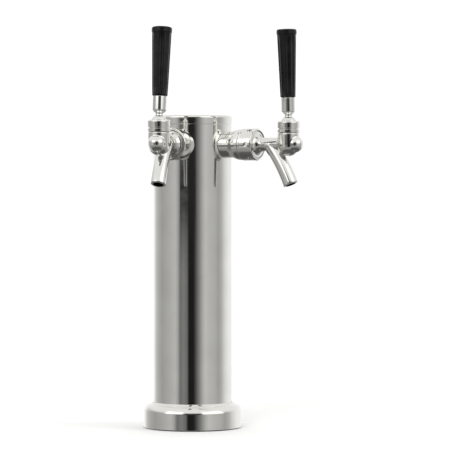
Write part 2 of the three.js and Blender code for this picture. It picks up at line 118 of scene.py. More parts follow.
class Bench:
    """Modelling steps that act on one piece at a time."""

    @staticmethod
    def take(piece: Piece) -> None:
        """Selects one piece alone and makes it active."""
        bpy.ops.object.select_all(action="DESELECT")
        piece.select_set(True)
        bpy.context.view_layer.objects.active = piece

    @staticmethod
    def start_point(corner: Corner) -> Piece:
        """Adds a mesh of one vertex and leaves it in edit mode.

        Args:
            corner: The vertex's distance from the turning axis and its height.

        Returns:
            The new object.
        """
        bpy.ops.object.select_all(action="DESELECT")
        bpy.ops.mesh.primitive_plane_add(size=MM)
        piece = bpy.context.active_object
        bpy.ops.object.mode_set(mode="EDIT")
        bpy.ops.mesh.select_all(action="SELECT")
        bpy.ops.mesh.merge(type="CENTER")
        bpy.ops.transform.translate(value=(corner[0] * MM, 0, corner[1] * MM))
        return piece

    @staticmethod
    def turn(name: str, outline: Sequence[Corner], steps: int = 96) -> Piece:
        """Turns an outline about the Z axis into a closed solid.

        Args:
            name: The piece's name.
            outline: Corners of (radius, height). It starts and ends on the axis, or it is closed.
            steps: How many facets the full turn has.

        Returns:
            The turned piece.
        """
        on_axis = outline[0][0] == 0 and outline[-1][0] == 0
        corners = list(outline) if on_axis else [*outline, outline[0]]
        piece = Bench.start_point(corners[0])
        for (radius, height), (next_radius, next_height) in zip(corners, corners[1:]):
            step = ((next_radius - radius) * MM, 0, (next_height - height) * MM)
            bpy.ops.mesh.extrude_region_move(TRANSFORM_OT_translate={"value": step})
        bpy.ops.mesh.select_all(action="SELECT")
        bpy.ops.mesh.spin(steps=steps, angle=FULL_TURN, center=(0, 0, 0), axis=(0, 0, 1))
        Bench.close(piece)
        piece.name = piece.data.name = name
        return piece

    @staticmethod
    def close(piece: Piece) -> None:
        """Merges doubled vertices, fills gaps and turns every face outwards.

        Args:
            piece: The piece that is changed, in either mode. It is left in object mode.
        """
        if piece.mode != "EDIT":
            Bench.take(piece)
            bpy.ops.object.mode_set(mode="EDIT")
        bpy.ops.mesh.select_all(action="SELECT")
        bpy.ops.mesh.remove_doubles(threshold=WELD)
        bpy.ops.mesh.dissolve_degenerate(threshold=SLIVER)
        bpy.ops.mesh.select_all(action="SELECT")
        bpy.ops.mesh.fill_holes(sides=0)
        bpy.ops.mesh.select_all(action="SELECT")
        bpy.ops.mesh.normals_make_consistent(inside=False)
        bpy.ops.object.mode_set(mode="OBJECT")

    @staticmethod
    def choose(piece: Piece, wanted: Callable[[Vector], bool]) -> None:
        """Selects the vertices of a piece in edit mode by their place.

        Args:
            piece: The piece.
            wanted: Says of a place, in millimetres, whether a vertex there is selected.
        """
        mesh = bmesh.from_edit_mesh(piece.data)
        for vertex in mesh.verts:
            vertex.select_set(wanted(piece.matrix_world @ vertex.co / MM))
        mesh.select_flush_mode()
        bmesh.update_edit_mesh(piece.data)

    @staticmethod
    def modify(piece: Piece, kind: str, **settings: object) -> None:
        """Adds a modifier, sets it and applies it.

        Args:
            piece: The piece that is changed.
            kind: The modifier's type.
            **settings: The modifier's own settings.
        """
        Bench.take(piece)
        bpy.ops.object.modifier_add(type=kind)
        modifier = piece.modifiers[-1]
        for setting, value in settings.items():
            setattr(modifier, setting, value)
        bpy.ops.object.modifier_apply(modifier=modifier.name)

    @staticmethod
    def soften(piece: Piece, width: float, segments: int = 3, angle: float = 28) -> None:
        """Rounds every edge that turns by more than an angle.

        Args:
            piece: The piece that is changed.
            width: The rounding's width.
            segments: How many strips the rounding has.
            angle: The least turn of an edge that is rounded, in degrees.
        """
        Bench.modify(
            piece,
            "BEVEL",
            width=width * MM,
            segments=segments,
            limit_method="ANGLE",
            angle_limit=math.radians(angle),
            use_clamp_overlap=True,
        )

    @staticmethod
    def cut(piece: Piece, cutter: Piece) -> None:
        """Cuts a piece with another, and merges the slivers that the cut leaves.

        Args:
            piece: The piece that is cut.
            cutter: The shape that is taken away. It is used up.
        """
        Bench.modify(piece, "BOOLEAN", operation="DIFFERENCE", solver="EXACT", object=cutter)
        bpy.data.objects.remove(cutter)
        Bench.close(piece)

    @staticmethod
    def settle(piece: Piece, place: Matrix) -> None:
        """Moves a piece from the bench to its place and leaves that place in its mesh.

        Args:
            piece: The piece that is moved.
            place: The move, in metres.
        """
        Bench.take(piece)
        piece.matrix_world = place @ piece.matrix_world
        bpy.ops.object.transform_apply(location=True, rotation=True, scale=True)

    @staticmethod
    def smooth(piece: Piece, angle: float = 40) -> None:
        """Shades a piece smooth, with its broad faces kept flat beside their rounded edges.

        Args:
            piece: The piece that is changed.
            angle: The least turn of an edge that stays sharp, in degrees.
        """
        Bench.take(piece)
        bpy.ops.object.shade_smooth_by_angle(angle=math.radians(angle))
        Bench.modify(piece, "WEIGHTED_NORMAL", mode="FACE_AREA", keep_sharp=True)

    @staticmethod
    def rod(radius: float, start: Vector, end: Vector, sides: int = 48) -> Piece:
        """Adds a plain round bar between two points, to cut with.

        Args:
            radius: The bar's radius.
            start: One end, in millimetres.
            end: The other end, in millimetres.
            sides: How many sides the bar has.

        Returns:
            The bar.
        """
        run = end - start
        bpy.ops.object.select_all(action="DESELECT")
        bpy.ops.mesh.primitive_cylinder_add(
            vertices=sides,
            radius=radius * MM,
            depth=run.length * MM,
            location=(start + run / 2) * MM,
            rotation=run.to_track_quat("Z", "Y").to_euler(),
        )
        return bpy.context.active_object

    @staticmethod
    def sweep(bends: Sequence[Vector], radii: Span, sides: int = 12) -> Piece:
        """Adds a round bar along a curve with one bend.

        Args:
            bends: The start, the bend's corner and the end, in millimetres.
            radii: The bar's radius at its start and at its end.
            sides: A quarter of the number of sides.

        Returns:
            The bar, as a closed mesh.
        """
        start, corner, end = bends
        bpy.ops.object.select_all(action="DESELECT")
        bpy.ops.curve.primitive_bezier_curve_add()
        bar = bpy.context.active_object
        first, last = bar.data.splines[0].bezier_points
        pull = 2 / 3
        for point, place, radius in ((first, start, radii[0]), (last, end, radii[1])):
            point.handle_left_type = point.handle_right_type = "FREE"
            point.co = place * MM
            point.radius = radius / radii[1]
            point.handle_left = point.handle_right = (place + (corner - place) * pull) * MM
        bar.data.dimensions = "3D"
        bar.data.resolution_u = 24
        bar.data.bevel_depth = radii[1] * MM
        bar.data.bevel_resolution = sides
        bar.data.use_fill_caps = True
        bpy.ops.object.convert(target="MESH")
        Bench.close(bar)
        return bar


def arc(centre: Corner, radius: float, start: float, end: float, steps: int = 6) -> list[Corner]:
    """Corners along an arc of an outline.

    Args:
        centre: The arc's centre, as (radius, height).
        radius: The arc's radius.
        start: The angle at its start, in degrees up from straight out.
        end: The angle at its end, in degrees.
        steps: How many chords the arc has.

    Returns:
        The corners, both ends among them.
    """
    angles = [math.radians(start + (end - start) * step / steps) for step in range(steps + 1)]
    return [(centre[0] + radius * math.cos(a), centre[1] + radius * math.sin(a)) for a in angles]


# ---------------------------------------------------------------------------------------------
# Finishes
# ---------------------------------------------------------------------------------------------


class Recipe:
    """A material's node tree, built up one node at a time."""

    def __init__(self, name: str) -> None:
        """Starts a material with a plain principled shader.

        Args:
            name: The material's name.
        """
        self.material = bpy.data.materials.new(name)
        self.material.use_nodes = True
        self.nodes = self.material.node_tree.nodes
        self.links = self.material.node_tree.links
        self.shader = self.nodes["Principled BSDF"]
        self.place = self.nodes.new("ShaderNodeTexCoord").outputs["Object"]

    def set(self, **values: object) -> None:
        """Sets the shader's own sockets. An underscore in a name stands for a space."""
        for name, value in values.items():
            self.shader.inputs[name.replace("_", " ")].default_value = value

    def noise(self, scale: float, detail: float) -> Socket:
        """Adds a noise pattern.

        Args:
            scale: How many blotches there are to a metre.
            detail: How many finer layers lie on the blotches.

        Returns:
            The pattern's value, from 0 to 1.
        """
        pattern = self.nodes.new("ShaderNodeTexNoise")
        pattern.inputs["Scale"].default_value = scale
        pattern.inputs["Detail"].default_value = detail
        self.links.new(self.place, pattern.inputs["Vector"])
        return pattern.outputs["Fac"]

    def cells(self, scale: float) -> Socket:
        """Adds a pattern of round cells.

        Args:
            scale: How many cells there are to a metre.

        Returns:
            The distance from each cell's middle.
        """
        pattern = self.nodes.new("ShaderNodeTexVoronoi")
        pattern.inputs["Scale"].default_value = scale
        self.links.new(self.place, pattern.inputs["Vector"])
        return pattern.outputs["Distance"]

    def spread(self, value: Socket, low: float, high: float) -> Socket:
        """Spreads a pattern's middle range over a new range.

        Args:
            value: The pattern.
            low: The new range's lower end.
            high: The new range's upper end.

        Returns:
            The spread pattern.
        """
        spread = self.nodes.new("ShaderNodeMapRange")
        spread.inputs["From Min"].default_value = MIDDLE[0]
        spread.inputs["From Max"].default_value = MIDDLE[1]
        spread.inputs["To Min"].default_value = low
        spread.inputs["To Max"].default_value = high
        self.links.new(value, spread.inputs["Value"])
        return spread.outputs["Result"]

    def tint(self, value: Socket, dark: Tone, bright: Tone) -> None:
        """Paints the base colour between two colours, by a pattern.

        Args:
            value: The pattern.
            dark: The colour where the pattern is low.
            bright: The colour where the pattern is high.
        """
        ramp = self.nodes.new("ShaderNodeValToRGB")
        for stop, position, tone in zip(ramp.color_ramp.elements, MIDDLE, (dark, bright)):
            stop.position = position
            stop.color = (*tone, 1)
        self.links.new(value, ramp.inputs["Fac"])
        self.links.new(ramp.outputs["Color"], self.shader.inputs["Base Color"])

    def fade(self, near: float, far: float) -> None:
        """Makes the surface vanish away from its middle.

        Args:
            near: Where it starts to fade, in metres.
            far: Where it is gone, in metres.
        """
        reach = self.nodes.new("ShaderNodeVectorMath")
        reach.operation = "LENGTH"
        share = self.nodes.new("ShaderNodeMapRange")
        share.interpolation_type = "SMOOTHSTEP"
        share.inputs["From Min"].default_value = near
        share.inputs["From Max"].default_value = far
        share.inputs["To Min"].default_value = 1
        share.inputs["To Max"].default_value = 0
        self.links.new(self.place, reach.inputs[0])
        self.links.new(reach.outputs["Value"], share.inputs["Value"])
        self.links.new(share.outputs["Result"], self.shader.inputs["Alpha"])

    def roughen(self, value: Socket) -> None:
        """Lets a pattern set the roughness."""
        self.links.new(value, self.shader.inputs["Roughness"])

    def emboss(self, value: Socket, height: float) -> None:
        """Raises the surface by a pattern.

        Args:
            value: The pattern.
            height: The relief's height, in millimetres.
        """
        bump = self.nodes.new("ShaderNodeBump")
        bump.inputs["Distance"].default_value = height * MM
        bump.inputs["Strength"].default_value = 1
        self.links.new(value, bump.inputs["Height"])
        below = self.shader.inputs["Normal"]
        if below.is_linked:
            self.links.new(below.links[0].from_socket, bump.inputs["Normal"])
        self.links.new(bump.outputs["Normal"], below)


@dataclass(frozen=True)
class MirrorChrome:
    """Bright decorative chrome: a mirror with faint haze, and the slow waver of a buffed surface."""

    name: str = "mirror_chrome"
    dark: Tone = (0.83, 0.822, 0.787)
    bright: Tone = (0.9, 0.892, 0.854)
    haze: Span = (0.045, 0.095)
    waver: float = 0.004

    def paint(self) -> bpy.types.Material:
        """Makes the material.

        Returns:
            The material.
        """
        recipe = Recipe(self.name)
        recipe.set(Metallic=1.0)
        recipe.tint(recipe.noise(scale=35, detail=3), self.dark, self.bright)
        recipe.roughen(recipe.spread(recipe.noise(scale=130, detail=4), *self.haze))
        recipe.emboss(recipe.noise(scale=60, detail=1), self.waver)
        return recipe.material


@dataclass(frozen=True)
class TurnedMetal:
    """Bare metal from the lathe, with fine tool lines and a little staining."""

    name: str
    dark: Tone
    bright: Tone
    rough: Span
    tool_lines: float = 0.01

    def paint(self) -> bpy.types.Material:
        """Makes the material.

        Returns:
            The material.
        """
        recipe = Recipe(self.name)
        recipe.set(Metallic=1.0)
        recipe.tint(recipe.noise(scale=260, detail=4), self.dark, self.bright)
        recipe.roughen(recipe.spread(recipe.noise(scale=700, detail=3), *self.rough))
        recipe.emboss(recipe.noise(scale=2200, detail=2), self.tool_lines)
        return recipe.material


@dataclass(frozen=True)
class MouldedPlastic:
    """Moulded plastic with a fine spark-eroded grain, and a faint bloom from handling."""

    name: str
    dark: Tone
    bright: Tone
    rough: Span
    grain: float
    gloss: float = 0.5
    sink: float = 0.03

    def paint(self) -> bpy.types.Material:
        """Makes the material.

        Returns:
            The material.
        """
        recipe = Recipe(self.name)
        recipe.set(IOR=1.52, Specular_IOR_Level=self.gloss)
        recipe.tint(recipe.noise(scale=90, detail=5), self.dark, self.bright)
        recipe.roughen(recipe.spread(recipe.noise(scale=320, detail=4), *self.rough))
        recipe.emboss(recipe.noise(scale=3200, detail=2), self.grain)
        recipe.emboss(recipe.noise(scale=120, detail=1), self.sink)
        return recipe.material


@dataclass(frozen=True)
class SoftRubber:
    """Matt nitrile rubber, dusty in places."""

    name: str = "nitrile_rubber"
    dark: Tone = (0.012, 0.012, 0.012)
    dusty: Tone = (0.035, 0.034, 0.032)
    rough: Span = (0.62, 0.9)
    grain: float = 0.05

    def paint(self) -> bpy.types.Material:
        """Makes the material.

        Returns:
            The material.
        """
        recipe = Recipe(self.name)
        recipe.tint(recipe.noise(scale=180, detail=5), self.dark, self.dusty)
        recipe.roughen(recipe.spread(recipe.noise(scale=500, detail=3), *self.rough))
        recipe.emboss(recipe.noise(scale=1800, detail=3), self.grain)
        return recipe.material


@dataclass(frozen=True)
class CellFoam:
    """Closed-cell insulation, pitted where it was sliced."""

    name: str = "cell_foam"
    dark: Tone = (0.05, 0.05, 0.052)
    bright: Tone = (0.12, 0.12, 0.122)
    rough: Span = (0.85, 1.0)
    pits: float = 0.5

    def paint(self) -> bpy.types.Material:
        """Makes the material.

        Returns:
            The material.
        """
        recipe = Recipe(self.name)
        recipe.tint(recipe.noise(scale=140, detail=4), self.dark, self.bright)
        recipe.roughen(recipe.spread(recipe.noise(scale=300, detail=2), *self.rough))
        recipe.emboss(recipe.cells(scale=900), self.pits)
        return recipe.material


class Paintbox:
    """The finish of each of the record's slots, made once."""

    def __init__(self) -> None:
        """Mixes every finish."""
        steel = TurnedMetal(
            "bright_stainless", dark=(0.46, 0.455, 0.44), bright=(0.66, 0.655, 0.64), rough=(0.16, 0.32)
        )
        brass = TurnedMetal(
            "machined_brass", dark=(0.52, 0.35, 0.13), bright=(0.76, 0.56, 0.27), rough=(0.18, 0.36)
        )
        handle = MouldedPlastic(
            "handle_phenolic",
            dark=(0.003, 0.003, 0.0033),
            bright=(0.008, 0.008, 0.0084),
            rough=(0.16, 0.3),
            grain=0.006,
            gloss=0.24,
        )
        base = MouldedPlastic(
            "glass_filled_nylon",
            dark=(0.018, 0.018, 0.019),
            bright=(0.045, 0.045, 0.046),
            rough=(0.42, 0.62),
            grain=0.05,
        )
        nylon = MouldedPlastic(
            "natural_nylon",
            dark=(0.66, 0.64, 0.57),
            bright=(0.83, 0.81, 0.75),
            rough=(0.35, 0.55),
            grain=0.02,
        )
        finishes = {
            Slot.CHROME: MirrorChrome(),
            Slot.STEEL: steel,
            Slot.BRASS: brass,
            Slot.HANDLE: handle,
            Slot.BASE: base,
            Slot.RUBBER: SoftRubber(),
            Slot.NYLON: nylon,
            Slot.FOAM: CellFoam(),
        }
        self.materials = {slot: finish.paint() for slot, finish in finishes.items()}

    def coat(self, piece: Piece, slot: Slot) -> None:
        """Gives a piece one finish all over.

        Args:
            piece: The piece that is painted.
            slot: The slot whose finish it takes.
        """
        if piece.material_slots:
            for place in piece.material_slots:
                place.material = self.materials[slot]
        else:
            piece.data.materials.append(self.materials[slot])


# ---------------------------------------------------------------------------------------------
# Reading the frame
# ---------------------------------------------------------------------------------------------


class Frame:
    """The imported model: its bodies, nodes and joints, read in millimetres."""

    def __init__(self, packed: dict) -> None:
        """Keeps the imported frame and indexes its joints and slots.

        Args:
            packed: The frame, as it was loaded.
        """
        self.nodes = packed["nodes"]
        self.joints = {joint["name"]: joint for joint in packed["record"]["behaviour"]["joints"]}
        self.slots = {row["node"]: Slot(row["material_slot"]) for row in packed["record"]["subparts"]}

    @staticmethod
    def box(node: str) -> tuple[Vector, Vector]:
        """A node's lowest and highest corners, in millimetres."""
        low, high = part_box(node)
        return low / MM, high / MM

    @staticmethod
    def radius(node: str) -> float:
        """The radius of a round node that stands on the column's axis."""
        low, high = Frame.box(node)
        return (high.x - low.x) / 2

    def pivot(self, side: Side) -> Vector:
        """Where a lever's ball turns."""
        return Vector(self.joints[f"lever_tilt_{side.value}"]["pos_m"]) / MM

    def faucet_place(self, side: Side) -> Matrix:
        """The turn that takes the bench's +X axis to a faucet's own direction."""
        pivot = self.pivot(side)
        return Matrix.Rotation(math.atan2(pivot.y, pivot.x), 4, "Z")

    def lever_place(self, side: Side) -> Matrix:
        """Where a lever stands: at its ball, leaning with its ferrule's middle.

        Args:
            side: Which faucet the lever belongs to.

        Returns:
            The move from the bench, in metres.
        """
        pivot = self.pivot(side)
        low, high = self.box(f"lever_ferrule_{side.value}")
        rise = (low + high) / 2 - pivot
        outward = Vector((pivot.x, pivot.y, 0)).normalized()
        lean = math.atan2(rise.dot(outward), rise.z)
        tilt = Matrix.Rotation(lean, 4, "Y")
        return Matrix.Translation(pivot * MM) @ self.faucet_place(side) @ tilt


@dataclass
class Assembly:
    """What every sub-assembly needs to hand its pieces over."""

    frame: Frame
    paints: Paintbox

    def deliver(self, piece: Piece, node: str, body: str) -> None:
        """Paints a piece, puts it in its CAD node's place and makes it ride on a body.

        Args:
            piece: The finished piece.
            node: The CAD node that the piece stands for.
            body: The body that the piece moves with.
        """
        slot = self.frame.slots[node]
        piece.name = piece.data.name = f"{node}_finished"
        self.paints.coat(piece, slot)
        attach(piece, body)
        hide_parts(node)
        LOG.info("%s: %d faces", piece.name, len(piece.data.polygons))


# ---------------------------------------------------------------------------------------------
# The column
# ---------------------------------------------------------------------------------------------


@dataclass
class Column(Assembly):
    """The plated tube, its cap and the skirt that hides its foot."""

    # The tube, and the holes for the shanks and the foot's screws.
    wall: float = 1.5
    shank_hole: float = 11.3
    shank_height: float = 274.8
    hole_band: Span = (256, 291.5)
    screw_hole: float = 2.1
    screw_height: float = 13.5
    screw_angles: tuple[float, ...] = (30, 150, 270)
    # The cap.
    cap_plug: float = 36.3
    cap_plug_height: float = 4.2
    cap_height: float = 9.5
    crown: float = 0.7
    rim_round: float = 2.6
    # The skirt and its gasket.
    skirt_wall: float = 2.0
    skirt_shoulder: float = 15.5
    gasket_bore: float = 32.0
    # How far out a drill reaches, and how many facets go round.
    drill_end: float = 60.0
    steps: int = 192

    def build(self) -> None:
        """Builds the column's pieces."""
        self.deliver(self.tube(), "column_tube", "tower")
        self.deliver(self.cap(), "top_cap", "tower")
        self.deliver(self.skirt(), "base_skirt", "tower")
        self.deliver(self.gasket(), "base_gasket", "tower")

    def tube(self) -> Piece:
        """The tube, bored for both shanks and for the screws at its foot.

        Each drill starts a third of the way to its end, so it leaves the far wall alone.

        Returns:
            The tube.
        """
        low, high = self.frame.box("column_tube")
        outer = self.frame.radius("column_tube")
        inner = outer - self.wall
        heights = [low.z, self.screw_height + 6, *self.hole_band, high.z]
        outline = [(inner, low.z)] + [(outer, height) for height in heights] + [(inner, high.z)]
        tube = Bench.turn("tube", outline, self.steps)
        for side in Side:
            turn = self.frame.faucet_place(side)
            reach = turn @ Vector((self.drill_end, 0, 0))
            lift = Vector((0, 0, self.shank_height))
            Bench.cut(tube, Bench.rod(self.shank_hole, lift + reach / 3, lift + reach))
        for angle in self.screw_angles:
            out = Vector((math.cos(math.radians(angle)), math.sin(math.radians(angle)), 0))
            lift = Vector((0, 0, self.screw_height))
            start = lift + out * (self.drill_end / 3)
            Bench.cut(tube, Bench.rod(self.screw_hole, start, lift + out * self.drill_end, sides=24))
        Bench.smooth(tube, angle=20)
        return tube

    def cap(self) -> Piece:
        """The cap: a shallow crown with a rolled rim, and a plug that enters the tube.

        Returns:
            The cap.
        """
        _, high = self.frame.box("top_cap")
        rim = self.frame.radius("top_cap")
        rim_bottom = high.z - self.cap_height
        foot = rim_bottom - self.cap_plug_height
        roll_centre = (rim - self.rim_round, high.z - self.crown - self.rim_round)
        roll = arc(roll_centre, self.rim_round, 0, 82, 8)
        crown = [(rim * share, high.z - self.crown * share**2) for share in (0.75, 0.5, 0.25, 0)]
        outline = [
            (0, rim_bottom + 1),
            (self.cap_plug - 1.8, rim_bottom + 1),
            (self.cap_plug - 1.8, foot),
            (self.cap_plug - 0.9, foot),
            (self.cap_plug - 0.9, foot + 2),
            (self.cap_plug, foot + 2.8),
            (self.cap_plug, rim_bottom),
            (rim - 0.3, rim_bottom),
            (rim, rim_bottom + 0.3),
            *roll,
            *crown,
        ]
        cap = Bench.turn("cap", outline, self.steps)
        Bench.smooth(cap, angle=45)
        return cap

    def skirt(self) -> Piece:
        """The skirt: an upright side, a full round shoulder, and a neck that grips the column.

        Returns:
            The skirt.
        """
        low, high = self.frame.box("base_skirt")
        outer = self.frame.radius("base_skirt")
        neck = self.frame.radius("column_tube") + 0.3
        rise = high.z - 1.6 - self.skirt_shoulder
        shoulder = arc((outer - rise, self.skirt_shoulder), rise, 0, 80, 12)
        lip = arc((neck + 0.8, high.z - 0.8), 0.8, 90, 180, 4)
        inner = arc((outer - rise, self.skirt_shoulder - 1), rise - self.skirt_wall, 78, 0, 8)
        outline = [
            (outer - 1, low.z),
            *arc((outer - 0.6, low.z + 0.6), 0.6, -90, 0, 4),
            *shoulder,
            *lip,
            (neck, high.z - 3.4),
            *inner,
            (outer - self.skirt_wall, low.z),
        ]
        skirt = Bench.turn("skirt", outline, self.steps)
        Bench.smooth(skirt, angle=45)
        return skirt

    def gasket(self) -> Piece:
        """The rubber gasket under the skirt, with softened edges.

        Returns:
            The gasket.
        """
        low, high = self.frame.box("base_gasket")
        outer = self.frame.radius("base_gasket")
        inner = self.gasket_bore
        outline = [(inner, low.z), (outer, low.z), (outer, high.z), (inner, high.z)]
        gasket = Bench.turn("gasket", outline, steps=128)
        Bench.soften(gasket, width=0.35)
        Bench.smooth(gasket)
        return gasket


# ---------------------------------------------------------------------------------------------
# One faucet
# ---------------------------------------------------------------------------------------------


@dataclass
class Faucet(Assembly):
    """A faucet and its fixed parts. Places along it are measured from the column's axis."""

    side: Side
    axis_height: float = 274.8
    # The collar, bored to clear the shank.
    clear: float = 11.3
    collar: float = 12.7
    collar_flare: float = 15.0
    collar_ends: Span = (30, 58.2)
    flare_start: float = 45.0
    # The coupling nut and its spanner holes.
    nut: float = 15.5
    nut_ends: Span = (58.5, 74)
    nut_thread: float = 13.3
    nut_holes: int = 6
    nut_hole: float = 2.4
    nut_hole_reach: float = 68.8
    # The casting's neck, the tail that the nut grips, and the throat between them.
    neck: float = 6.6
    neck_ends: Span = (65.2, 80)
    tail: float = 13.0
    tail_front: float = 73.6
    throat: Span = (10.6, 8.4)
    throat_ends: Span = (75.6, 77.5)
    tail_bore: float = 8.0
    tail_bore_end: float = 73.2
    shaft_bore: float = 4.8
    shaft_bore_ends: Span = (72.2, 119.5)
    # The upright barrel, the thread on its top, and the nose in front of it.
    barrel: float = 10.5
    barrel_drop: float = 11.5
    barrel_top: float = 285.3
    thread: float = 8.7
    thread_top: float = 290.6
    nose: float = 8.6
    nose_root: float = 4.0
    nose_shoulder: float = 113.5
    nose_tip: float = 122.4
    # The spout. It ends at a distance from the column's axis and a height.
    spout: Span = (6.9, 7.4)
    spout_bore: float = 5.2
    spout_start: float = 87.0
    spout_end: Corner = (110, 236.5)
    spout_tilt: float = 23.0
    spout_straight: float = 24.0
    # The cup under the ball, and the slot that the lever's peg swings in.
    cup: float = 7.8
    cup_floor: float = 286.6
    cup_rise: float = 6.0
    slot: float = 5.2
    slot_run: float = 3.6
    # How finely the casting's solids are run together.
    grain: float = 0.42
    # The bonnet and the ball that it holds down.
    bonnet: float = 10.75
    bonnet_bore: float = 8.9
    bonnet_groove: Span = (288.6, 290.1)
    ball: float = 7.6
    pivot_reach: float = field(init=False)

    def __post_init__(self) -> None:
        """Reads how far out the lever turns."""
        pivot = self.frame.pivot(self.side)
        self.pivot_reach = math.hypot(pivot.x, pivot.y)

    def node(self, name: str) -> str:
        """A node's name on this side."""
        return f"{name}_{self.side.value}"

    def build(self) -> None:
        """Builds the faucet's fixed pieces."""
        makers: dict[str, Callable[[], Piece]] = {
            "shank_collar": self.make_collar,
            "coupling_nut": self.make_nut,
            "faucet_body": self.make_body,
            "bonnet": self.make_bonnet,
        }
        for name, make in makers.items():
            piece = make()
            Bench.settle(piece, self.frame.faucet_place(self.side))
            self.deliver(piece, self.node(name), "tower")

    def lay(self, piece: Piece) -> None:
        """Lays a piece that was turned upright along the faucet's axis."""
        lift = Matrix.Translation((0, 0, self.axis_height * MM))
        Bench.settle(piece, lift @ Matrix.Rotation(math.pi / 2, 4, "Y"))

    def make_collar(self) -> Piece:
        """The flared collar, its back cut to sit on the round column.

        Returns:
            The collar.
        """
        back, front = self.collar_ends
        growth = self.collar_flare - self.collar
        run = front - 3 - self.flare_start
        flare = [
            (self.collar + growth * (1 - math.cos(share * math.pi)) / 2, self.flare_start + run * share)
            for share in (step / 8 for step in range(9))
        ]
        outline = [
            (self.clear, back),
            (self.collar, back),
            *flare,
            (self.collar_flare, front - 0.5),
            (self.collar_flare - 0.5, front),
            (self.clear, front),
        ]
        collar = Bench.turn("collar", outline)
        self.lay(collar)
        column = self.frame.radius("column_tube") + 0.3
        lift = Vector((0, 0, self.axis_height))
        reach = Vector((0, 0, 40))
        Bench.cut(collar, Bench.rod(column, lift - reach, lift + reach, sides=256))
        Bench.smooth(collar, angle=35)
        return collar

    def make_nut(self) -> Piece:
        """The coupling nut, with a ring of spanner holes and a turned line near its back.

        Returns:
            The nut.
        """
        back, front = self.nut_ends
        outline = [
            (self.clear, back),
            (self.nut - 1, back),
            *arc((self.nut - 1, back + 1), 1, -90, 0, 4),
            (self.nut, back + 2.2),
            (self.nut - 0.3, back + 2.5),
            (self.nut, back + 2.8),
            *arc((self.nut - 1.6, front - 1.6), 1.6, 0, 90, 6),
            (self.nut_thread + 0.3, front),
            (self.nut_thread, front - 0.3),
            (self.nut_thread, back + 2),
            (self.clear, back + 2),
        ]
        nut = Bench.turn("nut", outline, steps=120)
        for hole in range(self.nut_holes):
            angle = (hole + 0.5) * FULL_TURN / self.nut_holes
            out = Vector((math.cos(angle), math.sin(angle), 0))
            along = Vector((0, 0, self.nut_hole_reach))
            start = along + out * (self.nut - 1.5)
            Bench.cut(nut, Bench.rod(self.nut_hole, start, along + out * (self.nut + 3), sides=32))
        self.lay(nut)
        Bench.smooth(nut, angle=35)
        return nut

    def spout_line(self, start: float, overrun: float) -> tuple[Vector, Vector, Vector]:
        """The spout's centre line, from the neck down and forward to its mouth.

        Args:
            start: Where it leaves the faucet's axis.
            overrun: How far past the mouth it goes on.

        Returns:
            Its start, the corner of its bend and its end.
        """
        tilt = math.radians(self.spout_tilt)
        down = Vector((math.sin(tilt), 0, -math.cos(tilt)))
        mouth = Vector((self.spout_end[0], 0, self.spout_end[1]))
        root = Vector((start, 0, self.axis_height))
        return root, mouth - down * self.spout_straight, mouth + down * overrun

    def make_body(self) -> Piece:
        """The cast body: neck, barrel, nose and spout run together, then bored.

        Returns:
            The body.
        """
        back, neck_front = self.neck_ends
        pivot = self.pivot_reach
        neck_outline = [
            (0, back),
            (self.tail, back),
            (self.tail, self.tail_front),
            (self.throat[0], self.tail_front),
            (self.throat[1], self.throat_ends[0]),
            (self.neck + 0.6, self.throat_ends[1]),
            (self.neck, neck_front),
            (self.neck, pivot),
            (0, pivot),
        ]
        nose_outline = [
            (0, pivot - self.nose_root),
            (self.nose, pivot - self.nose_root),
            (self.nose - 0.1, self.nose_shoulder),
            *arc((0, self.nose_tip - self.nose + 0.4), self.nose - 0.4, 8, 90, 10),
        ]
        foot = self.axis_height - self.barrel_drop
        barrel_outline = [
            *arc((0, foot + self.barrel), self.barrel, -90, 0, 10),
            (self.barrel, self.barrel_top),
            (self.thread, self.barrel_top),
            (self.thread, self.thread_top),
            (0, self.thread_top),
        ]
        neck = Bench.turn("neck", neck_outline, steps=72)
        nose = Bench.turn("nose", nose_outline, steps=72)
        barrel = Bench.turn("barrel", barrel_outline, steps=72)
        self.lay(neck)
        self.lay(nose)
        Bench.settle(barrel, Matrix.Translation((pivot * MM, 0, 0)))
        spout = Bench.sweep(self.spout_line(self.spout_start, overrun=0), self.spout)
        body = self.run_together([neck, nose, barrel, spout])
        self.bore(body, self.tail_bore, (back - 2, self.tail_bore_end))
        self.bore(body, self.shaft_bore, self.shaft_bore_ends)
        cup = Vector((pivot, 0, self.cup_floor))
        Bench.cut(body, Bench.rod(self.cup, cup, cup + Vector((0, 0, self.cup_rise))))
        Bench.cut(body, self.arm_slot())
        hollow = self.spout_line(self.spout_start + 5, overrun=2)
        Bench.cut(body, Bench.sweep(hollow, (self.spout_bore,) * 2))
        Bench.take(body)
        bpy.ops.object.shade_smooth_by_angle(angle=math.radians(38))
        return body

    def bore(self, body: Piece, radius: float, ends: Span) -> None:
        """Bores a body along the faucet's axis.

        Args:
            body: The piece that is cut.
            radius: The bore's radius.
            ends: Where the bore starts and ends.
        """
        lift = Vector((0, 0, self.axis_height))
        start, end = (lift + Vector((place, 0, 0)) for place in ends)
        Bench.cut(body, Bench.rod(radius, start, end))

    def arm_slot(self) -> Piece:
        """The slot that the lever's peg swings back in: a bar drawn out to the rear.

        Returns:
            The bar to cut with.
        """
        foot = Vector((self.pivot_reach, 0, self.axis_height))
        rise = Vector((0, 0, self.cup_floor - self.axis_height + 1))
        slot = Bench.rod(self.slot, foot, foot + rise)
        bpy.ops.object.mode_set(mode="EDIT")
        Bench.choose(slot, lambda spot: spot.x < self.pivot_reach)
        bpy.ops.transform.translate(value=(-self.slot_run * MM, 0, 0))
        bpy.ops.object.mode_set(mode="OBJECT")
        return slot

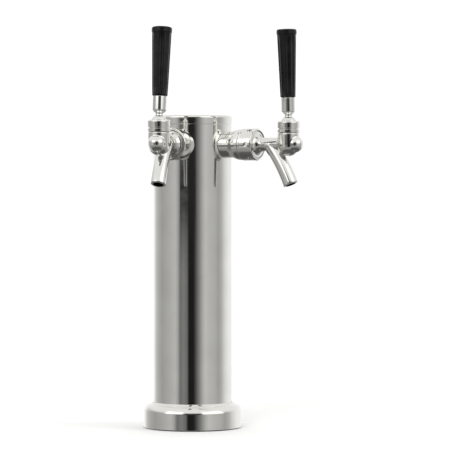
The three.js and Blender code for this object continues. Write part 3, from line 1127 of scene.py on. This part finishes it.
    def run_together(self, pieces: Sequence[Piece]) -> Piece:
        """Joins overlapping solids into one casting with soft fillets between them.

        Args:
            pieces: The solids. They are used up.

        Returns:
            The casting.
        """
        Bench.take(pieces[0])
        for piece in pieces[1:]:
            piece.select_set(True)
        bpy.ops.object.join()
        casting = bpy.context.active_object
        Bench.modify(casting, "REMESH", mode="VOXEL", voxel_size=self.grain * MM, adaptivity=0.0)
        Bench.modify(casting, "SMOOTH", factor=0.6, iterations=14)
        return casting

    def make_bonnet(self) -> Piece:
        """The bonnet that holds the lever's ball down, with a turned groove round it.

        Returns:
            The bonnet.
        """
        low, high = self.frame.box(self.node("bonnet"))
        radius = self.bonnet
        groove_low, groove_high = self.bonnet_groove
        outline = [
            (self.bonnet_bore, low.z),
            *arc((radius - 0.6, low.z + 0.6), 0.6, -90, 0, 4),
            (radius, groove_low - 0.15),
            (radius - 0.15, groove_low),
            (radius - 0.9, groove_low + 0.3),
            (radius - 0.9, groove_high - 0.3),
            (radius - 0.15, groove_high),
            (radius, groove_high + 0.15),
            *arc((radius - 2, high.z - 2), 2, 0, 90, 8),
            (self.ball + 0.1, high.z),
            (self.ball - 0.15, high.z - 0.2),
            (self.ball + 0.25, high.z - 1.4),
            (self.bonnet_bore, high.z - 1.4),
        ]
        bonnet = Bench.turn("bonnet", outline)
        Bench.settle(bonnet, Matrix.Translation((self.pivot_reach * MM, 0, 0)))
        Bench.smooth(bonnet, angle=35)
        return bonnet


@dataclass
class Lever(Assembly):
    """The part of a faucet that tilts. Heights are measured from its ball's centre."""

    side: Side
    # The lever, from its ball down to the peg's tip and up to the stud's top.
    ball: float = 7.6
    neck: float = 3.7
    peg: float = 2.0
    arm: float = 19.7
    flare: float = 5.8
    stud: float = 4.6
    stud_top: float = 40.5
    # The ferrule.
    ferrule: float = 6.6
    ferrule_ends: Span = (10.7, 24.5)
    # The handle, its lip, its flutes and the socket under it.
    handle_ends: Span = (24.9, 89.5)
    handle_foot: float = 7.3
    handle_head: float = 9.1
    lip: float = 9.6
    lip_height: float = 5.0
    flutes: int = 10
    per_flute: int = 12
    flute_depth: float = 0.105
    flute_fullness: float = 0.7
    flute_fades: Span = (5.0, 3.5)
    rows: int = 16
    socket: Corner = (6.3, 42.5)

    def build(self) -> None:
        """Builds the lever, its ferrule and its handle."""
        makers: dict[str, Callable[[], Piece]] = {
            "lever": self.make_lever,
            "lever_ferrule": self.make_ferrule,
            "tap_handle": self.make_handle,
        }
        for name, make in makers.items():
            piece = make()
            Bench.settle(piece, self.frame.lever_place(self.side))
            self.deliver(piece, f"{name}_{self.side.value}", f"tap_lever_{self.side.value}")

    def make_lever(self) -> Piece:
        """The lever: a peg, the ball it turns on, a waist, a flare and the handle's stud.

        Returns:
            The lever.
        """
        lowest = -math.degrees(math.acos(self.peg * 1.2 / self.ball))
        highest = math.degrees(math.acos(self.neck / self.ball))
        shoulder = self.ferrule_ends[0] - 0.3
        waist = self.ball * math.sin(math.radians(highest))
        outline = [
            (0, -self.arm - 2),
            *arc((0, -self.arm), 2, -60, 0, 5),
            (self.peg, -self.ball - 1.5),
            *arc((0, 0), self.ball, lowest, highest, 24),
            (self.neck - 0.2, waist + 0.7),
            (self.neck - 0.2, shoulder - 2.2),
            (self.neck + 0.3, shoulder - 1.4),
            (self.flare - 0.4, shoulder - 0.5),
            (self.flare, shoulder - 0.2),
            (self.flare - 0.1, shoulder),
            (self.stud, shoulder),
            (self.stud, self.stud_top - 0.6),
            (self.stud - 0.6, self.stud_top),
            (0, self.stud_top),
        ]
        lever = Bench.turn("lever", outline, steps=72)
        Bench.smooth(lever, angle=35)
        return lever

    def make_ferrule(self) -> Piece:
        """The bright ferrule under the handle, rounded at both ends.

        Returns:
            The ferrule.
        """
        low, high = self.ferrule_ends
        bore = self.stud + 0.3
        radius = self.ferrule
        outline = [
            (bore, low),
            *arc((radius - 0.9, low + 0.9), 0.9, -90, 0, 5),
            *arc((radius - 0.7, high - 0.7), 0.7, 0, 90, 5),
            (bore, high),
        ]
        ferrule = Bench.turn("ferrule", outline, steps=80)
        Bench.smooth(ferrule, angle=35)
        return ferrule

    def make_handle(self) -> Piece:
        """The handle: a blank that grows towards the top, fluted, under a plain round lip.

        Returns:
            The handle.
        """
        low, high = self.handle_ends
        neck = high - self.lip_height
        flute_low, flute_high = low + 1.2, neck - 1.0
        run = flute_high - flute_low
        growth = self.handle_head - self.handle_foot
        rows = [
            (self.handle_foot + growth * share, flute_low + run * share)
            for share in (row / self.rows for row in range(self.rows + 1))
        ]
        outline = [
            (0, low),
            (self.handle_foot - 0.8, low),
            *arc((self.handle_foot - 0.8, low + 0.8), 0.8, -70, 0, 4),
            *rows,
            (self.handle_head + 0.05, neck - 0.3),
            *arc((self.lip - 0.45, neck + 0.45), 0.45, -70, 0, 4),
            *arc((self.lip - 1.5, high - 1.5), 1.5, 0, 90, 8),
            (self.lip - 5, high),
            (0, high),
        ]
        handle = Bench.turn("handle", outline, self.flutes * self.per_flute)
        self.flute(handle, flute_low, flute_high)
        lift = Vector((0, 0, 1))
        Bench.cut(handle, Bench.rod(self.socket[0], lift * (low - 1), lift * self.socket[1]))
        Bench.smooth(handle, angle=50)
        return handle

    def flute(self, handle: Piece, low: float, high: float) -> None:
        """Presses round flutes into a turned blank, running out towards both ends.

        Args:
            handle: The blank, upright on the Z axis.
            low: Where the flutes start.
            high: Where the flutes end.
        """
        Bench.take(handle)
        bpy.ops.object.mode_set(mode="EDIT")
        heights = sorted({round(vertex.co.z / MM, 3) for vertex in handle.data.vertices})
        for height in (height for height in heights if low + 0.1 < height < high - 0.1):
            ends = ((height - low) / self.flute_fades[0], (high - height) / self.flute_fades[1])
            fade = math.sin(min(1.0, *ends) * math.pi / 2)
            for place in range(1, self.per_flute // 2 + 1):
                share = (1 - math.cos(place * FULL_TURN / self.per_flute)) / 2
                shrink = 1 - self.flute_depth * share**self.flute_fullness * fade
                Bench.choose(handle, lambda spot: self.on_flute(spot, height, place))
                bpy.ops.transform.resize(value=(shrink, shrink, 1), center_override=(0, 0, height * MM))
        bpy.ops.object.mode_set(mode="OBJECT")

    def on_flute(self, spot: Vector, height: float, place: int) -> bool:
        """Whether a spot lies in a row, a number of steps from the nearest ridge.

        Args:
            spot: The spot, in millimetres.
            height: The row's height.
            place: The number of steps.

        Returns:
            True where it does.
        """
        step = FULL_TURN / (self.flutes * self.per_flute)
        turn = round(math.atan2(spot.y, spot.x) / step) % self.per_flute
        return abs(spot.z - height) < 0.01 and min(turn, self.per_flute - turn) == place


@dataclass
class HiddenWorks(Assembly):
    """The pieces inside, which keep their CAD shapes and take a finish."""

    def build(self) -> None:
        """Paints every CAD node that is still shown."""
        for name, node in self.frame.nodes.items():
            if not node.hide_render:
                self.paints.coat(node, self.frame.slots[name])
                LOG.info("%s: painted as %s", name, self.frame.slots[name].value)


# ---------------------------------------------------------------------------------------------
# The studio
# ---------------------------------------------------------------------------------------------


@dataclass(frozen=True)
class Card:
    """A soft-edged panel in the surroundings, as the tower sees it.

    Its sides are in degrees to the right of the camera, and its ends in degrees up.
    """

    sides: Span
    ends: Span
    brightness: float
    softness: float


@dataclass(frozen=True)
class Lamp:
    """A square soft lamp, with its place and width in metres and its power in watts.

    It lights the tower, but the chrome doesn't mirror it.
    """

    name: str
    place: tuple[float, float, float]
    width: float
    power: float


@dataclass
class Studio:
    """The camera, the floor, the lights and the surroundings that the chrome mirrors."""

    camera_place: Vector = field(default_factory=lambda: Vector((-851.5, -2261, 240)))
    camera_aim: Vector = field(default_factory=lambda: Vector((29.6, -11.1, 197)))
    lens: float = 198.5
    # Brightness along the horizon, by degrees to the right of the camera.
    horizon: tuple[tuple[float, float], ...] = (
        (-180, 1.0), (-150, 0.95), (-138, 0.62), (-118, 0.44), (-100, 0.37), (-75, 0.44), (-52, 0.52),
        (-44, 0.4), (-37, 0.17), (-26, 0.22), (-16, 0.16), (-11, 0.012), (3, 0.014), (10, 0.08),
        (20, 0.24), (30, 0.45), (38, 0.56), (52, 0.5), (68, 0.46), (82, 0.38), (94, 0.46), (108, 0.7),
        (128, 0.9), (180, 1.0),
    )
    cards: tuple[Card, ...] = (
        Card((-37, 9), (-1.1, 0.9), 0.02, 1.5),
        Card((-70, -25), (12, 40), 1.5, 4),
        Card((25, 80), (10, 45), 1.3, 4),
        Card((-20, 20), (5, 24), 0.06, 4),
    )
    lamps: tuple[Lamp, ...] = (
        Lamp("key_light", (-1.5, -1.7, 2.0), 1.3, 60),
        Lamp("fill_light", (1.8, -1.3, 1.6), 1.4, 34),
        Lamp("top_light", (0.1, 0.3, 2.6), 2.0, 60),
    )
    lamp_aim: float = 0.2
    # The ceiling's brightness, and the degrees up between which it takes over from the horizon.
    ceiling: float = 0.86
    ceiling_rise: Span = (8, 32)
    # The ground's slopes, in degrees up, and the brightness at the foot of each.
    grounds: tuple[tuple[Span, float], ...] = (((-14, -27), 0.3), ((-36, -50), 0.1))
    backdrop: float = 1.05
    floor_radius: float = 8.0
    floor_fade: Span = (0.1, 1.3)

    def build(self) -> None:
        """Sets up the whole studio."""
        self.set_camera()
        self.set_floor()
        self.set_lights()
        self.set_surroundings()

    def set_camera(self) -> None:
        """Puts the camera where the tower is seen from its left, a little above its middle."""
        place = self.camera_place * MM
        aim = self.camera_aim * MM - place
        bpy.ops.object.camera_add(location=place, rotation=aim.to_track_quat("-Z", "Y").to_euler())
        camera = bpy.context.active_object
        camera.data.lens = self.lens
        camera.data.clip_end = 50
        bpy.context.scene.camera = camera
        bpy.context.scene.view_settings.view_transform = "Standard"

    def set_floor(self) -> None:
        """Lays a plain pale floor under the skirt, which fades into the backdrop far away."""
        bpy.ops.object.select_all(action="DESELECT")
        bpy.ops.mesh.primitive_circle_add(vertices=96, radius=self.floor_radius, fill_type="NGON")
        floor = bpy.context.active_object
        floor.name = "floor"
        recipe = Recipe("pale_floor")
        recipe.set(Base_Color=(0.5, 0.5, 0.496, 1), Roughness=0.7)
        recipe.fade(*self.floor_fade)
        floor.data.materials.append(recipe.material)
        floor.visible_glossy = False

    def set_lights(self) -> None:
        """Hangs soft lights: a key on the left, a fill on the right and one overhead."""
        for lamp in self.lamps:
            aim = -Vector(lamp.place) + Vector((0, 0, self.lamp_aim))
            turn = aim.to_track_quat("-Z", "Y").to_euler()
            bpy.ops.object.light_add(type="AREA", location=lamp.place, rotation=turn)
            light = bpy.context.active_object
            light.name = lamp.name
            light.data.energy = lamp.power
            light.data.size = lamp.width
            light.visible_glossy = False

    def set_surroundings(self) -> None:
        """Paints the surroundings by direction, and a plain white backdrop for the camera."""
        world = bpy.data.worlds.new("surroundings")
        bpy.context.scene.world = world
        world.use_nodes = True
        Surroundings(world.node_tree, self).paint()


class Surroundings:
    """The world's node tree, worked out from the direction of a ray."""

    def __init__(self, tree: bpy.types.NodeTree, studio: Studio) -> None:
        """Finds the angle to the camera's right, and the height, of every ray.

        Args:
            tree: The world's node tree.
            studio: The studio that the world surrounds.
        """
        self.tree = tree
        self.studio = studio
        self.direction = tree.nodes.new("ShaderNodeTexCoord").outputs["Generated"]
        towards = Vector((studio.camera_place.x, studio.camera_place.y, 0)).normalized()
        right = Vector((-towards.y, towards.x, 0))
        self.bearing = self.math("ARCTAN2", self.dot(right), self.dot(towards))
        self.height = self.math("ARCSINE", self.dot(Vector((0, 0, 1))))

    def dot(self, axis: Vector) -> Socket:
        """How far the ray runs along an axis.

        Args:
            axis: The axis, one long.

        Returns:
            The ray's share along it.
        """
        node = self.tree.nodes.new("ShaderNodeVectorMath")
        node.operation = "DOT_PRODUCT"
        node.inputs[1].default_value = axis
        self.tree.links.new(self.direction, node.inputs[0])
        return node.outputs["Value"]

    def math(self, operation: str, *values: Socket | float) -> Socket:
        """Adds a maths node.

        Args:
            operation: What the node does.
            *values: The sockets or numbers that it does it to.

        Returns:
            The node's value.
        """
        node = self.tree.nodes.new("ShaderNodeMath")
        node.operation = operation
        for place, value in enumerate(values):
            if isinstance(value, Socket):
                self.tree.links.new(value, node.inputs[place])
            else:
                node.inputs[place].default_value = value
        return node.outputs["Value"]

    def step(self, value: Socket, low: float, high: float) -> Socket:
        """Rises smoothly from 0 to 1 with an angle.

        Args:
            value: The angle.
            low: Where the rise starts, in degrees.
            high: Where the rise ends, in degrees.

        Returns:
            The rise.
        """
        node = self.tree.nodes.new("ShaderNodeMapRange")
        node.interpolation_type = "SMOOTHSTEP"
        node.inputs["From Min"].default_value = math.radians(low)
        node.inputs["From Max"].default_value = math.radians(high)
        self.tree.links.new(value, node.inputs["Value"])
        return node.outputs["Result"]

    def blend(
        self,
        share: Socket,
        below: Socket | float,
        above: Socket | float,
    ) -> Socket:
        """Goes from one brightness to another by a share.

        Args:
            share: The share, from 0 to 1.
            below: The brightness at 0.
            above: The brightness at 1.

        Returns:
            The brightness between them.
        """
        kept = self.math("MULTIPLY", self.math("SUBTRACT", 1.0, share), below)
        return self.math("ADD", kept, self.math("MULTIPLY", share, above))

    def window(self, value: Socket, ends: Span, softness: float) -> Socket:
        """Is 1 between two angles and 0 outside them, with soft edges.

        Args:
            value: The angle.
            ends: The two angles, in degrees.
            softness: Half of an edge's width, in degrees.

        Returns:
            The share.
        """
        rise = self.step(value, ends[0] - softness, ends[0] + softness)
        fall = self.step(value, ends[1] - softness, ends[1] + softness)
        return self.math("MULTIPLY", rise, self.math("SUBTRACT", 1.0, fall))

    def paint(self) -> None:
        """Builds the tree: the horizon, the ceiling, the cards, the ground and the backdrop."""
        ramp = self.tree.nodes.new("ShaderNodeValToRGB")
        stops = ramp.color_ramp.elements
        rows = self.studio.horizon
        for index, (degrees, brightness) in enumerate(rows):
            place = (degrees + 180) / 360
            stop = stops[0] if index == 0 else stops.new(place)
            stop.position = place
            stop.color = (brightness,) * 3 + (1,)
        if len(stops) > len(rows):
            stops.remove(stops[-1])
        share = self.math("ADD", self.math("DIVIDE", self.bearing, FULL_TURN), 0.5)
        self.tree.links.new(share, ramp.inputs["Fac"])
        rise = self.step(self.height, *self.studio.ceiling_rise)
        shade = self.blend(rise, ramp.outputs["Color"], self.studio.ceiling)
        for card in self.studio.cards:
            across = self.window(self.bearing, card.sides, card.softness)
            softness = min(card.softness, 0.4 * (card.ends[1] - card.ends[0]))
            upward = self.window(self.height, card.ends, softness)
            shade = self.blend(self.math("MULTIPLY", across, upward), shade, card.brightness)
        for slope, brightness in self.studio.grounds:
            shade = self.blend(self.step(self.height, *slope), shade, brightness)
        path = self.tree.nodes.new("ShaderNodeLightPath")
        shade = self.blend(path.outputs["Is Camera Ray"], shade, self.studio.backdrop)
        self.tree.links.new(shade, self.tree.nodes["Background"].inputs["Color"])


def main() -> None:
    """Builds the tower's pieces in order, and then the studio."""
    logging.basicConfig(level=logging.INFO, format="%(name)s: %(message)s")
    frame = Frame(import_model())
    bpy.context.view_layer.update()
    paints = Paintbox()
    Studio().build()
    Column(frame, paints).build()
    for side in Side:
        Faucet(frame, paints, side).build()
        Lever(frame, paints, side).build()
    HiddenWorks(frame, paints).build()


if __name__ == "__main__":
    main()
